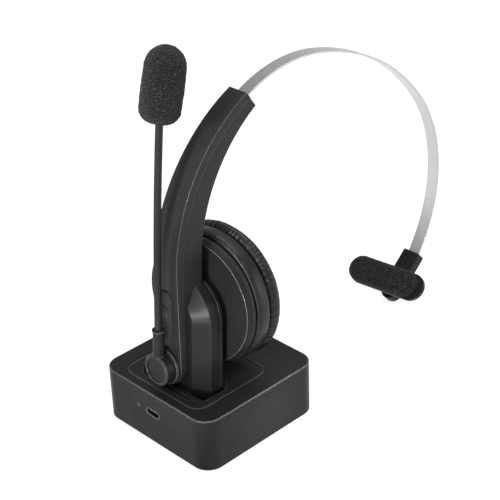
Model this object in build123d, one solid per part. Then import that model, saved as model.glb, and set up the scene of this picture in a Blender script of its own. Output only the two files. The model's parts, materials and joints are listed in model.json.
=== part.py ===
from build123d import *
import math
import os

# Mono headset with a boom microphone, leaning in its square charging stand. Millimetres.
# World frame: origin at the centre of the stand's foot, +Z up, +X from the ear cup to the temple pad.
# Headset frame: the same origin, turned by LEAN about +Y, so its +Z runs up the lift-off direction.

LEAN = 3.5
FIT_GAP = 0.1
MOVE_GAP = 0.3
WALL = 1.8

# Charging stand
STAND_SIDE = 75.0
STAND_TOP = 28.6
STAND_CORNER = 9.0
STAND_WALL = 2.2
STAND_TOP_EDGE = 0.35
STAND_BOTTOM_EDGE = 0.4
SKIRT_BOTTOM = 0.2
FOOT_SIDE = 64.0
FOOT_THICK = 1.5
FOOT_CORNER = 7.0
BASE_PLATE_THICK = 2.0
DECK_THICK = 3.6
BALLAST = (32.0, 50.0, 9.0)
PANEL_X = (-32.4, 15.0)
PANEL_Y = 26.5
PANEL_CORNER = 6.5
PANEL_GAP = 0.45
PANEL_THICK = 1.8
PANEL_LEDGE = 1.5
POST_AT = 29.0
POST_R = 3.0
POST_HOLE_TOP = 14.0
PORT_Z = 17.4
PORT_Y = 0.3
PORT_SLOT = (9.3, 3.5)
PORT_SHELL = (9.0, 3.3)
PORT_INSIDE = (8.3, 2.6)
LED_Y = 10.6
LED_R = 0.65
PORT_BOARD_Z = (14.0, 15.6)
POSTS = [(x, y) for x in (-POST_AT, POST_AT) for y in (-POST_AT, POST_AT)]

# Dock pocket and its three spring pins, which touch the pod's foot
DOCK_WELL_X = (-26.2, -7.8)
DOCK_WELL_Y = 21.9
DOCK_WELL_BOTTOM = 13.0
DOCK_GAP = 0.5
DISH = (24.0, 46.0, 10.0)
DISH_X = -16.4
DISH_DEPTH = 2.4
PIN_X = -17.0
PIN_YS = (-6.0, 0.0, 6.0)
PIN_R = 1.0
PIN_FLANGE_R = 1.6
PIN_FLANGE = (9.8, 10.8)
PIN_BOTTOM = 7.6
PIN_BLOCK_Z = (6.5, 13.0)

# Arm, seen from the side (x, z) and from the front (y, z)
ARM_CENTRE = (60.1, 88.3)
ARM_OUTER_R = 89.5
ARM_TOP_OUTER = (16.6, 166.3)
ARM_TOP_INNER = (22.6, 158.6)
ARM_INNER_MID = (-4.4, 128.0)
ARM_INNER_LOW = (-13.6, 90.0)
ARM_FRONT_LOW = (-28.3, 20.0)
ARM_SEAM = 4.2
ARM_HALF_LOW = 9.5
ARM_HALF_MID = 7.9
ARM_MID_Z = 92.0
ARM_HALF_TOP = 5.5
ARM_TAPER_TOP = 172.0
ARM_STEP = 0.35

# Pod behind the arm, which docks in the stand
POD_HALF = 19.2
POD_ARCH_Z = 62.5
POD_FOOT_Z = 16.0
POD_CORNER = 12.0
POD_FRONT = -23.2
POD_CREASE = -18.5
POD_BACK = -10.5
POD_LID = 1.8
POD_INSET = 8.0
POD_SCREWS = ((-12.0, 71.5), (12.0, 71.5), (-14.0, 26.0), (14.0, 26.0))
POD_POST_R = 2.6
CONTACT_R = 1.5
MAIN_BOARD_Z = (29.5, 54.4)

# Boom
HUB_Z = 38.6
HUB_R = 8.05
HUB_FRONT = -36.3
BOSS_R = 9.5
BOSS_FRONT = -30.9
BOSS_BACK = -28.8
HUB_EDGE = 0.5
HUB_RIM = 1.4
HUB_DISH = 1.0
NECK_X = -34.1
NECK_R = 2.75
NECK_TOP = 59.2
NECK_SOCKET = 4.5
COLLAR_R = 3.15
COLLAR_THICK = 0.9
SHAFT_R = 2.9
SHAFT_BACK = -25.5
RETAINER_R = 4.4

# Gooseneck: a long shallow arc, then a tighter one inside the windscreen
STALK_R = 1.85
STALK_HEADING = 90.6
STALK_ARC = (1500.0, 4.18)
TIP_ARC = (62.0, 7.0)
MIC_R = 4.2
MIC_LENGTH = 14.0
MIC_MOUTH = 8.0
CAPSULE_R = 3.1
FOAM_R = 9.5
FOAM_LENGTH = 34.5
FOAM_BELOW_TIP = 9.0
FOAM_FOOT_ROUND = 6.0

# Head band
BAND_START = (17.8, 162.6)
BAND_HEADING = 31.65
BAND_ARCS = ((75.4, 52.0), (132.0, 94.1), (81.1, 106.3))
BAND_TAIL = 58.0
BAND_THICK = 0.9
BAND_WIDTH = 7.0
BAND_SLOT = 1.7
GUIDE_HALF = 3.9
STOP_HALF = 4.4
STOP_THICK = 3.4

# Temple pad, in a frame at the clip's top with +Z up along the clip and +X away from the head
CLIP_AT = (157.1, 33.1)
CLIP_TURN = 44.6
CLIP_LENGTH = 30.3
CLIP_WIDTH = 11.0
CLIP_THICK = 6.0
CLIP_EDGE = 0.5
CLIP_SLOT_Z = (-11.5, -6.0)
CLIP_EAR_Y = 4.4
CLIP_EAR_R = 2.2
TILT_X = -5.8
TILT_Z = -21.7
TILT_PIN_R = 1.0
TILT_PIN_HALF = 5.3
TILT_BARREL_R = 2.0
TILT_BARREL_HALF = 2.9
PAD_ROLL = -4.0
PAD_LENGTH = 47.4
PAD_WIDTH = 15.2
PAD_THICK = 5.4
PAD_ROUND = 3.2
PLATE_X = (-11.4, -8.9)
PLATE_RIM = 1.2

# Ear cup, in a frame on the swivel axis with +X along the cup's own axis
SWIVEL_X = -13.5
SWIVEL_Z = 65.2
SWIVEL_TURN = 4.5
SWIVEL_PIN_R = 1.25
KNUCKLE_HALF = 3.0
KNUCKLE_Z = (SWIVEL_Z - 6.5, SWIVEL_Z + 6.5)
EAR_THICK = 3.0
CUP_OFFSET = 5.2
CUP_R = 32.6
CUP_BACK_R = 31.1
CUP_SPIGOT_R = 30.4
CUP_BORE_R = 28.6
CUP_RIM_AT = 4.3
CUP_DEPTH = 10.0
CUP_POST_AT = 25.6
CUP_POST_ANGLES = (90, 210, 330)
BAFFLE_THICK = 2.0
DRIVER_R = 20.0
CLOTH_R = 24.0
CUSHION_R = 35.2
CUSHION_HOLE_R = 17.5
CUSHION_FRONT = 24.0
LIP_AT = (9.8, 33.0)
LIP_SIZE = (9.0, 4.0)

# Buttons on the arm's outer face
KEYS_Z = (53.0, 79.0)
KEYS_HALF = 4.7
KEYS_CORNER = 4.2
KEY_FRONT = -29.9
KEY_BACK = -27.4
KEY_GAP = 0.25
KEY_SPLITS = (62.2, 70.6)
KEY_SLANT = 0.16
DOME_X = (-26.9, -26.3)
DOME_R = 2.2

HEADSET = Rot(0, LEAN, 0)
CUP = Pos(SWIVEL_X, 0, SWIVEL_Z) * Rot(0, 0, SWIVEL_TURN) * Pos(CUP_OFFSET, 0, 0)
TEMPLE = Pos(CLIP_AT[0], 0, CLIP_AT[1]) * Rot(0, CLIP_TURN, 0)


def save(node, *solids, place=Pos(0, 0, 0)):
    """Writes one node, a single solid or a group of them."""
    placed = [place * solid for solid in solids]
    shape = placed[0] if len(placed) == 1 else Compound(children=placed)
    export_step(shape, f"parts/{node}.step")


def block(x, y, z):
    """A box from its low and high limits on each axis."""
    size = [high - low for low, high in (x, y, z)]
    middle = [(high + low) / 2 for low, high in (x, y, z)]
    return Pos(*middle) * Box(*size)


def rounded(side_x, side_y, corner, low, high, centre=(0, 0)):
    """An upright plate with round corners."""
    plate = extrude(RectangleRounded(side_x, side_y, corner), high - low)
    return Pos(centre[0], centre[1], low) * plate


def disc_x(radius, low, high, y=0.0, z=0.0):
    """A cylinder along X."""
    return Pos((low + high) / 2, y, z) * Rot(0, 90, 0) * Cylinder(radius, high - low)


def disc_z(radius, low, high, x=0.0, y=0.0):
    """A cylinder along Z."""
    return Pos(x, y, (low + high) / 2) * Cylinder(radius, high - low)


def disc_y(radius, half, x=0.0, z=0.0):
    """A cylinder along Y, centred on Y = 0."""
    return Pos(x, 0, z) * Rot(90, 0, 0) * Cylinder(radius, 2 * half)


def side_slab(face, half):
    """Extrudes a side view (x, z) to both sides of Y = 0."""
    return extrude(Plane.XZ * face, half, both=True)


def front_slab(face, low, high):
    """Extrudes a front view (y, z) from x = low to x = high."""
    return Pos(low, 0, 0) * extrude(Plane.YZ * face, high - low)


def spin_x(*corners):
    """Turns a closed outline of (x, radius) corners about the X axis."""
    outline = Plane.XY * make_face(Polyline(*corners, close=True))
    return revolve(outline, Axis.X, 360)


def ring_sector(centre, radius, thick, angle_from, angle_to, half):
    """A curved slab about a Y-parallel axis, between two angles from +X towards +Z."""
    rims = []
    for offset in (-thick / 2, thick / 2):
        points = []
        for angle in (angle_from, (angle_from + angle_to) / 2, angle_to):
            turn = math.radians(angle)
            x = centre[0] + (radius + offset) * math.cos(turn)
            z = centre[1] + (radius + offset) * math.sin(turn)
            points.append((x, z))
        rims.append(points)
    inner, outer = rims
    outline = ThreePointArc(*inner) + Line(inner[2], outer[2])
    outline += ThreePointArc(*outer) + Line(outer[0], inner[0])
    return side_slab(make_face(outline), half)


# ---------------------------------------------------------------- charging stand


def stand_housing():
    inside = STAND_SIDE - 2 * STAND_WALL
    shell = rounded(STAND_SIDE, STAND_SIDE, STAND_CORNER, SKIRT_BOTTOM, STAND_TOP)
    shell = chamfer(shell.edges().group_by(Axis.Z)[-1], STAND_TOP_EDGE)
    shell = fillet(shell.edges().group_by(Axis.Z)[0], STAND_BOTTOM_EDGE)
    deck = STAND_TOP - DECK_THICK
    shell -= rounded(inside, inside, STAND_CORNER - STAND_WALL, 0, deck)
    length = PANEL_X[1] - PANEL_X[0]
    centre = ((PANEL_X[0] + PANEL_X[1]) / 2, 0)
    ledge_z = STAND_TOP - PANEL_GAP / 2 - PANEL_THICK
    shell -= rounded(length, 2 * PANEL_Y, PANEL_CORNER, ledge_z, STAND_TOP + 1, centre)
    inner_x, inner_y = length - 2 * PANEL_LEDGE, 2 * (PANEL_Y - PANEL_LEDGE)
    shell -= rounded(inner_x, inner_y, PANEL_CORNER - PANEL_LEDGE, deck - 1, ledge_z, centre)
    for x, y in POSTS:
        shell += disc_z(POST_R, FOOT_THICK + BASE_PLATE_THICK, deck, x, y)
        shell -= disc_z(1.1, 0, POST_HOLE_TOP, x, y)
    face = -STAND_SIDE / 2
    for y in (-15, 15):
        shell += block((face + 1, face + 4.5), (y - 1.5, y + 1.5), (10.0, PORT_BOARD_Z[0]))
    slot = extrude(Plane.YZ * SlotOverall(*PORT_SLOT), 4)
    shell -= Pos(face - 1, PORT_Y, PORT_Z) * slot
    shell -= disc_x(LED_R + 0.05, face - 1, face + 4.5, LED_Y, PORT_Z + 0.2)
    return shell


def pod_outline(grow=0.0, top_open=False):
    """Front view of the pod: an arch on straight sides with a round-cornered foot."""
    half, corner = POD_HALF + grow, POD_CORNER + grow
    foot, knee = POD_FOOT_Z - grow, POD_FOOT_Z + POD_CORNER
    diagonal = corner * (1 - math.sqrt(0.5))
    if top_open:
        outline = Line((-half, POD_ARCH_Z), (half, POD_ARCH_Z))
    else:
        outline = ThreePointArc((-half, POD_ARCH_Z), (0, POD_ARCH_Z + half), (half, POD_ARCH_Z))
    outline += Line((half, POD_ARCH_Z), (half, knee))
    outline += ThreePointArc((half, knee), (half - diagonal, foot + diagonal), (half - corner, foot))
    outline += Line((half - corner, foot), (corner - half, foot))
    outline += ThreePointArc((corner - half, foot), (diagonal - half, foot + diagonal), (-half, knee))
    outline += Line((-half, knee), (-half, POD_ARCH_Z))
    return make_face(outline)


def dock_panel():
    length = PANEL_X[1] - PANEL_X[0] - 2 * PANEL_GAP
    width = 2 * (PANEL_Y - PANEL_GAP)
    centre = ((PANEL_X[0] + PANEL_X[1]) / 2, 0)
    top = STAND_TOP - PANEL_GAP / 2
    plate = rounded(length, width, PANEL_CORNER - PANEL_GAP, top - PANEL_THICK, top, centre)
    plate = chamfer(plate.edges().group_by(Axis.Z)[-1], 0.3)
    well = HEADSET * block(DOCK_WELL_X, (-DOCK_WELL_Y, DOCK_WELL_Y), (DOCK_WELL_BOTTOM, STAND_TOP))
    well = well & block((-STAND_SIDE, STAND_SIDE), (-STAND_SIDE, STAND_SIDE), (0, top - 0.5))
    panel = plate + well
    panel -= Pos(DISH_X, 0, top) * extrude(RectangleRounded(*DISH), -DISH_DEPTH, taper=38)
    pocket = front_slab(pod_outline(DOCK_GAP, top_open=True), POD_FRONT - DOCK_GAP, POD_BACK + DOCK_GAP)
    panel -= HEADSET * pocket
    for y in PIN_YS:
        panel -= HEADSET * disc_z(PIN_R + FIT_GAP, 10, 20, PIN_X, y)
    return panel


def pin_block():
    body = block((PIN_X - 3.5, PIN_X + 3.5), (-10, 10), PIN_BLOCK_Z)
    for y in PIN_YS:
        body -= disc_z(PIN_R + FIT_GAP, 5, 14, PIN_X, y)
        body -= disc_z(PIN_FLANGE_R + 0.4, PIN_BOTTOM + 0.4, PIN_FLANGE[1] + MOVE_GAP, PIN_X, y)
    return body


def charge_pins():
    pins = []
    for y in PIN_YS:
        pin = disc_z(PIN_R, PIN_BOTTOM, POD_FOOT_Z - MOVE_GAP, PIN_X, y)
        pin = fillet(pin.edges().group_by(Axis.Z)[-1], 0.6)
        pins.append(pin + disc_z(PIN_FLANGE_R, *PIN_FLANGE, PIN_X, y))
    return pins


def stand_pieces():
    save("stand_housing", stand_housing())
    save("dock_panel", dock_panel())
    plate_low, plate_high = FOOT_THICK, FOOT_THICK + BASE_PLATE_THICK
    inside = STAND_SIDE - 2 * STAND_WALL - 2 * FIT_GAP
    base = rounded(inside, inside, STAND_CORNER - STAND_WALL, plate_low, plate_high)
    foot = rounded(FOOT_SIDE, FOOT_SIDE, FOOT_CORNER, 0, FOOT_THICK)
    screws = []
    for x, y in POSTS:
        base -= disc_z(1.6, 0, 5, x, y)
        base -= disc_z(2.9, 0, plate_low + 1.1, x, y)
        foot -= disc_z(3.2, -1, 3, x, y)
        shank = disc_z(1.0, plate_low, POST_HOLE_TOP - 2, x, y)
        screws.append(shank + disc_z(2.7, plate_low, plate_low + 1.0, x, y))
    save("stand_base_plate", base)
    save("stand_screws", *screws)
    save("non_slip_foot", foot)
    ballast_x, ballast_y, ballast_top = BALLAST
    save("ballast_plate", rounded(ballast_x, ballast_y, 3, plate_high, ballast_top, (10.0, 0)))
    save("port_board", block((-35.0, -26.6), (-18, 18), PORT_BOARD_Z))
    mouth = -STAND_SIDE / 2 + 0.2
    shell = Pos(mouth, PORT_Y, PORT_Z) * extrude(Plane.YZ * SlotOverall(*PORT_SHELL), 9.0)
    shell -= Pos(mouth - 1, PORT_Y, PORT_Z) * extrude(Plane.YZ * SlotOverall(*PORT_INSIDE), 9.0)
    shell += block((mouth + 1.0, mouth + 8.5), (PORT_Y - 3.3, PORT_Y + 3.3), (PORT_Z - 0.35, PORT_Z + 0.35))
    save("usb_c_receptacle", shell)
    save("status_light_pipe", disc_x(LED_R, -STAND_SIDE / 2, -33.5, LED_Y, PORT_Z + 0.2))
    save("charge_board", block((-27, -7), (-14, 14), (4.9, PIN_BLOCK_Z[0])), place=HEADSET)
    save("pin_block", pin_block(), place=HEADSET)
    save("charge_pins", *charge_pins(), place=HEADSET)


# ---------------------------------------------------------------- arm and pod


def arm_side_face():
    """Side view of the arm: a straight foot that bends over the head."""
    diagonal = math.radians(150)
    bend = (
        ARM_CENTRE[0] + ARM_OUTER_R * math.cos(diagonal),
        ARM_CENTRE[1] + ARM_OUTER_R * math.sin(diagonal),
    )
    straight = (ARM_CENTRE[0] - ARM_OUTER_R, ARM_CENTRE[1])
    foot_inner = (ARM_INNER_LOW[0], ARM_FRONT_LOW[1])
    outline = ThreePointArc(straight, bend, ARM_TOP_OUTER)
    outline += Line(ARM_TOP_OUTER, ARM_TOP_INNER)
    outline += ThreePointArc(ARM_TOP_INNER, ARM_INNER_MID, ARM_INNER_LOW)
    outline += Polyline(ARM_INNER_LOW, foot_inner, ARM_FRONT_LOW, straight)
    return make_face(outline)


def arm_front_face():
    """Front view of the arm: a round foot about the boom pivot that narrows upwards."""
    foot, top = HUB_Z + 1.3, ARM_TAPER_TOP
    low, high = (ARM_HALF_LOW, foot), (ARM_HALF_TOP, top)
    middle = (ARM_HALF_MID, ARM_MID_Z)
    outline = ThreePointArc(low, middle, high) + Line(high, (-high[0], top))
    outline += ThreePointArc((-high[0], top), (-middle[0], middle[1]), (-low[0], foot))
    outline += ThreePointArc((-low[0], foot), (0, HUB_Z - ARM_HALF_LOW - 0.1), low)
    return make_face(outline)


def arm_solid(inset=0.0, side_inset=0.0):
    """The arm's outer shape, or a smaller copy of it."""
    side, front = arm_side_face(), arm_front_face()
    if inset:
        side = offset(side, -inset)
    if inset or side_inset:
        front = offset(front, -inset - side_inset)
    return side_slab(side, 15) & front_slab(front, -40, 40)


def seam_core():
    """Everything behind the seam that parts the arm's cover from its inner shell."""
    core = Pos(*ARM_CENTRE) * Circle(ARM_OUTER_R - ARM_SEAM)
    width, height = 60.0, ARM_CENTRE[1]
    left = ARM_CENTRE[0] - ARM_OUTER_R + ARM_SEAM
    core += Pos(left + width / 2, height / 2) * Rectangle(width, height)
    return side_slab(core, 20)


def band_centre():
    turn = math.radians(BAND_HEADING)
    radius = BAND_ARCS[0][0]
    return (BAND_START[0] + radius * math.sin(turn), BAND_START[1] - radius * math.cos(turn))


def band_mouth():
    return ring_sector(band_centre(), BAND_ARCS[0][0], BAND_SLOT, 112, 126, BAND_WIDTH / 2 + 0.25)


def pod_solid():
    """The pod's outer shape: an arch with a wide crowned bevel on its front."""
    body = front_slab(pod_outline(), POD_CREASE, POD_BACK)
    rear_face = Pos(POD_CREASE, 0, 0) * (Plane.YZ * pod_outline())
    front_face = Pos(POD_FRONT, 0, 0) * (Plane.YZ * pod_outline(-POD_INSET))
    crown = loft([rear_face, front_face], ruled=True)
    return body + crown


def key_face(low, high, grow):
    """One key of the strip, in the front view, between two slanted cuts."""
    height = KEYS_Z[1] - KEYS_Z[0] + 2 * grow
    middle = (KEYS_Z[0] + KEYS_Z[1]) / 2
    strip = Pos(0, middle) * RectangleRounded(2 * (KEYS_HALF + grow), height, KEYS_CORNER)
    reach = 12.0
    rise = KEY_SLANT * reach
    left, right = (-reach, low - rise), (reach, low + rise)
    band = Polyline(left, right, (reach, high + rise), (-reach, high - rise), close=True)
    return strip & make_face(band)


def arm_cover(pod):
    cover = arm_solid() - seam_core() - arm_solid(WALL)
    cover -= disc_x(BOSS_R + 0.15, -40, BOSS_BACK, 0, HUB_Z)
    cover -= disc_x(SHAFT_R + FIT_GAP, -40, -20, 0, HUB_Z)
    cover -= front_slab(key_face(0, 120, 0), -40, -26.5)
    cover -= band_mouth()
    return cover - pod


def arm_inner_shell(pod):
    shell = (arm_solid(0, ARM_STEP) & seam_core()) - arm_solid(WALL)
    shell -= band_mouth()
    return shell - pod


def pod_housing(pod):
    cavity = front_slab(pod_outline(-WALL), POD_CREASE, POD_BACK + 1)
    cavity += front_slab(pod_outline(-POD_INSET - 0.5), POD_FRONT + WALL, POD_CREASE + 0.1)
    housing = pod & block((-60, POD_BACK - POD_LID), (-40, 40), (0, 120))
    housing -= cavity
    for y, z in POD_SCREWS:
        housing += disc_x(POD_POST_R, POD_CREASE - 0.5, POD_BACK - POD_LID, y, z)
        housing -= disc_x(0.95, POD_CREASE + 3, POD_BACK, y, z)
    for y in PIN_YS:
        housing -= disc_z(CONTACT_R, 10, 18, PIN_X, y)
    return housing


def pod_back():
    lid = front_slab(pod_outline(), POD_BACK - POD_LID, POD_BACK)
    low, high = KNUCKLE_Z[0] - MOVE_GAP, KNUCKLE_Z[1] + MOVE_GAP
    rear = POD_BACK - POD_LID + 0.2
    for ear in ((low - EAR_THICK, low), (high, high + EAR_THICK)):
        lid += block((SWIVEL_X - 2.4, rear), (-3.6, 3.6), ear)
    lid -= block((SWIVEL_X - 1, -5), (-4.9, 4.9), (low, high))
    lid -= disc_z(SWIVEL_PIN_R, low - EAR_THICK + 0.6, high + EAR_THICK - 0.6, SWIVEL_X)
    for y, z in POD_SCREWS:
        lid -= disc_x(1.2, POD_BACK - 5, POD_BACK + 1, y, z)
        lid -= disc_x(2.1, POD_BACK - 1.0, POD_BACK + 1, y, z)
    return lid


def arm_pieces():
    pod = pod_solid()
    save("arm_outer_cover", arm_cover(pod), place=HEADSET)
    save("arm_inner_shell", arm_inner_shell(pod), place=HEADSET)
    save("pod_housing", pod_housing(pod), place=HEADSET)
    save("pod_back_cover", pod_back(), place=HEADSET)
    screws = []
    for y, z in POD_SCREWS:
        head = disc_x(1.9, POD_BACK - 1.0, POD_BACK - 0.1, y, z)
        screws.append(head + disc_x(0.9, POD_CREASE + 3.5, POD_BACK - 0.5, y, z))
    save("pod_screws", *screws, place=HEADSET)
    save("battery", rounded_pack(), place=HEADSET)
    save("main_board", block((-14.4, -13.0), (-15, 15), MAIN_BOARD_Z), place=HEADSET)
    contacts = [disc_z(CONTACT_R, POD_FOOT_Z, POD_FOOT_Z + WALL, PIN_X, y) for y in PIN_YS]
    save("charge_contacts", *contacts, place=HEADSET)
    save("key_board", block((-26.3, -25.3), (-5.8, 5.8), (50.5, 81.5)), place=HEADSET)
    borders = (KEYS_Z[0], *KEY_SPLITS, KEYS_Z[1])
    centres = [(low + high) / 2 for low, high in zip(borders, borders[1:])]
    save("dome_switches", *[disc_x(DOME_R, *DOME_X, 0, z) for z in centres], place=HEADSET)
    limits = (KEYS_Z[0] - 9, *KEY_SPLITS, KEYS_Z[1] + 9)
    for index, node in enumerate(("volume_down_button", "call_button", "volume_up_button")):
        low, high = limits[index] + 0.12, limits[index + 1] - 0.12
        cap = front_slab(key_face(low, high, -KEY_GAP), KEY_FRONT, KEY_BACK)
        cap = fillet(cap.edges().group_by(Axis.X)[0], 0.3)
        save(node, cap, place=HEADSET)
    centre = band_centre()
    radius = BAND_ARCS[0][0]
    pads = []
    for low, high in ((-2.7, -0.6), (0.6, 2.1)):
        middle = radius + (low + high) / 2
        pads.append(ring_sector(centre, middle, high - low, 124.5, 133, GUIDE_HALF))
    save("band_guide_pads", *pads, place=HEADSET)


def rounded_pack():
    pack = block((-18.3, -14.8), (-11.0, 11.0), (21.0, 55.5))
    return fillet(pack.edges().filter_by(Axis.Z), 1.2)


# ---------------------------------------------------------------- boom microphone


def stalk_path():
    """The gooseneck's line in the side view: its two arcs, from the neck to the microphone."""
    heading = math.radians(STALK_HEADING)
    start = (NECK_X, NECK_TOP - NECK_SOCKET + 0.5)
    stalk = JernArc(start, (math.cos(heading), math.sin(heading)), STALK_ARC[0], -STALK_ARC[1])
    return stalk, JernArc(stalk @ 1, stalk % 1, TIP_ARC[0], -TIP_ARC[1])


def stepped_disc(back, front, edge, radius, bore=0.0):
    """A disc along X from back to front (lower x), with a chamfered front edge and maybe a bore."""
    corners = [(back, bore), (back, radius), (front + edge, radius), (front, radius - edge), (front, bore)]
    return Pos(0, 0, HUB_Z) * spin_x(*corners)


def boom_hub():
    hub = stepped_disc(BOSS_FRONT - MOVE_GAP, HUB_FRONT, HUB_EDGE, HUB_R)
    hub += disc_z(NECK_R, HUB_Z + 5, NECK_TOP, NECK_X)
    hub -= disc_x(HUB_R - HUB_RIM, HUB_FRONT - 1, HUB_FRONT + HUB_DISH, 0, HUB_Z)
    hub += disc_x(SHAFT_R, BOSS_FRONT - 1, SHAFT_BACK, 0, HUB_Z)
    return hub - disc_z(STALK_R + 0.3, NECK_TOP - NECK_SOCKET, NECK_TOP + 1, NECK_X)


def windscreen():
    """The foam's outer shape on its own axis, from its foot up, less the bore for the housing."""
    crown, foot, waist = FOAM_LENGTH, FOAM_FOOT_ROUND, FOAM_R - FOAM_FOOT_ROUND
    bend = foot * (1 - math.sqrt(0.5))
    shoulder = crown - FOAM_R
    diagonal = FOAM_R * math.sqrt(0.5)
    outline = Line((0, 0), (waist, 0))
    outline += ThreePointArc((waist, 0), (FOAM_R - bend, bend), (FOAM_R, foot))
    outline += Line((FOAM_R, foot), (FOAM_R, shoulder))
    outline += ThreePointArc((FOAM_R, shoulder), (diagonal, shoulder + diagonal), (0, crown))
    outline += Line((0, crown), (0, 0))
    screen = revolve(Plane.XZ * make_face(outline), Axis.Z, 360)
    return Pos(0, 0, -FOAM_BELOW_TIP) * (screen - disc_z(MIC_R, -1, FOAM_BELOW_TIP + MIC_LENGTH))


def boom_pieces():
    boss = stepped_disc(BOSS_BACK, BOSS_FRONT, HUB_EDGE, BOSS_R, SHAFT_R + FIT_GAP)
    save("boom_boss", boss, place=HEADSET)
    save("boom_hub", boom_hub(), place=HEADSET)
    cap = disc_x(HUB_R - HUB_RIM - MOVE_GAP, HUB_FRONT + 0.5, HUB_FRONT + HUB_DISH, 0, HUB_Z)
    save("hub_cap", cap, place=HEADSET)
    retainer = disc_x(RETAINER_R, SHAFT_BACK - 1, SHAFT_BACK, 0, HUB_Z)
    save("boom_retainer", retainer - disc_x(SHAFT_R, SHAFT_BACK - 2, SHAFT_BACK + 1, 0, HUB_Z), place=HEADSET)
    lower, upper = stalk_path()
    path = Plane.XZ * (lower + upper)
    section = Plane(origin=path @ 0, z_dir=path % 0) * Circle(STALK_R)
    save("gooseneck", sweep(section, path=path), place=HEADSET)
    collar = disc_z(COLLAR_R, NECK_TOP, NECK_TOP + COLLAR_THICK, NECK_X)
    collar -= disc_z(STALK_R + 0.25, NECK_TOP - 1, NECK_TOP + 2, NECK_X)
    save("collar_ring", collar, place=HEADSET)
    tip = Plane(origin=path @ 1, x_dir=(0, 1, 0), z_dir=path % 1)
    mouth = disc_z(CAPSULE_R + FIT_GAP, MIC_MOUTH, MIC_LENGTH + 1)
    save("microphone_housing", tip * (disc_z(MIC_R, 0, MIC_LENGTH) - mouth), place=HEADSET)
    save("microphone_capsule", tip * disc_z(CAPSULE_R, MIC_MOUTH + 0.5, MIC_LENGTH - 1.5), place=HEADSET)
    save("foam_windscreen", tip * windscreen(), place=HEADSET)


# ---------------------------------------------------------------- head band and temple pad


def band_rim(side):
    """One long edge of the strip seen from the side, from its tail to its clip end."""
    heading = math.radians(BAND_HEADING)
    radius = BAND_ARCS[0][0]
    centre = band_centre()
    tail_turn = BAND_TAIL / radius
    angle = math.radians(90) + heading + tail_turn
    start = (
        centre[0] + (radius + side) * math.cos(angle),
        centre[1] + (radius + side) * math.sin(angle),
    )
    heading += tail_turn
    tangent = (math.cos(heading), math.sin(heading))
    first, *rest = BAND_ARCS
    lengths = [(first[0], first[1] + BAND_TAIL), *rest]
    edges = []
    for arc_radius, length in lengths:
        edge = JernArc(start, tangent, arc_radius + side, -math.degrees(length / arc_radius))
        edges.append(edge)
        start, tangent = edge @ 1, edge % 1
    return edges


def band_strip():
    outer, inner = band_rim(BAND_THICK / 2), band_rim(-BAND_THICK / 2)
    outline = Line(inner[0] @ 0, outer[0] @ 0) + Line(inner[-1] @ 1, outer[-1] @ 1)
    for edge in (*outer, *inner):
        outline += edge
    return side_slab(make_face(outline), BAND_WIDTH / 2)


def temple_clip(band):
    half, face = CLIP_WIDTH / 2, CLIP_THICK / 2
    foot = half - CLIP_LENGTH
    bar = block((-face, face), (-half, half), (foot, 0))
    bar += disc_x(half, -face, face, 0, foot)
    bar = fillet(bar.edges().filter_by(Axis.Z), 0.6)
    bar = chamfer(bar.faces().sort_by(Axis.Z)[-1].edges(), CLIP_EDGE)
    ear_z = (TILT_Z - CLIP_EAR_R, TILT_Z + CLIP_EAR_R)
    for y in (-CLIP_EAR_Y, CLIP_EAR_Y):
        bar += block((TILT_X, CLIP_EDGE - face), (y - 1.1, y + 1.1), ear_z)
        bar += Pos(0, y, 0) * disc_y(CLIP_EAR_R, 1.1, TILT_X, TILT_Z)
    bar -= disc_y(TILT_PIN_R, TILT_PIN_HALF, TILT_X, TILT_Z)
    bar -= block((-CLIP_THICK, 1.0 - face), (-0.9, 0.9), CLIP_SLOT_Z)
    return TEMPLE * bar - band


def stadium(length, width, low, high):
    """A plate with round ends along Y, from x = low to x = high, in the clip's frame."""
    plate = extrude(Plane.YZ * SlotOverall(length, width), high - low)
    return Pos(low, 0, TILT_Z) * Rot(PAD_ROLL, 0, 0) * plate


def temple_pieces(band):
    save("temple_clip", temple_clip(band), place=HEADSET)
    plate = stadium(PAD_LENGTH + PLATE_RIM, PAD_WIDTH + 0.4, *PLATE_X)
    plate = fillet(plate.edges().group_by(Axis.X)[-1], 0.8)
    neck_x, neck_y = (PLATE_X[1] - 0.5, TILT_X), (-TILT_BARREL_HALF, TILT_BARREL_HALF)
    plate += block(neck_x, neck_y, (TILT_Z - TILT_BARREL_R, TILT_Z + TILT_BARREL_R))
    plate += disc_y(TILT_BARREL_R, TILT_BARREL_HALF, TILT_X, TILT_Z)
    plate -= disc_y(TILT_PIN_R + FIT_GAP, TILT_BARREL_HALF + 1, TILT_X, TILT_Z)
    save("temple_plate", TEMPLE * plate, place=HEADSET)
    foam = stadium(PAD_LENGTH, PAD_WIDTH, PLATE_X[0] - PAD_THICK, PLATE_X[0])
    foam = fillet(foam.edges().group_by(Axis.X)[0], PAD_ROUND)
    save("temple_foam_pad", TEMPLE * foam, place=HEADSET)
    save("temple_pivot_pin", TEMPLE * disc_y(TILT_PIN_R, TILT_PIN_HALF, TILT_X, TILT_Z), place=HEADSET)


def band_pieces():
    band = band_strip()
    save("head_band", band, place=HEADSET)
    radius, _ = BAND_ARCS[0]
    tail = 90 + BAND_HEADING + math.degrees(BAND_TAIL / radius)
    stop = ring_sector(band_centre(), radius, STOP_THICK, tail - 3.0, tail + 0.8, STOP_HALF)
    save("band_end_stop", stop - band, place=HEADSET)
    temple_pieces(band)


# ---------------------------------------------------------------- ear cup


def cup_posts():
    """Where the three screws stand in the cup's (y, z) view."""
    for degrees in CUP_POST_ANGLES:
        turn = math.radians(degrees)
        yield CUP_POST_AT * math.cos(turn), CUP_POST_AT * math.sin(turn)


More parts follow.
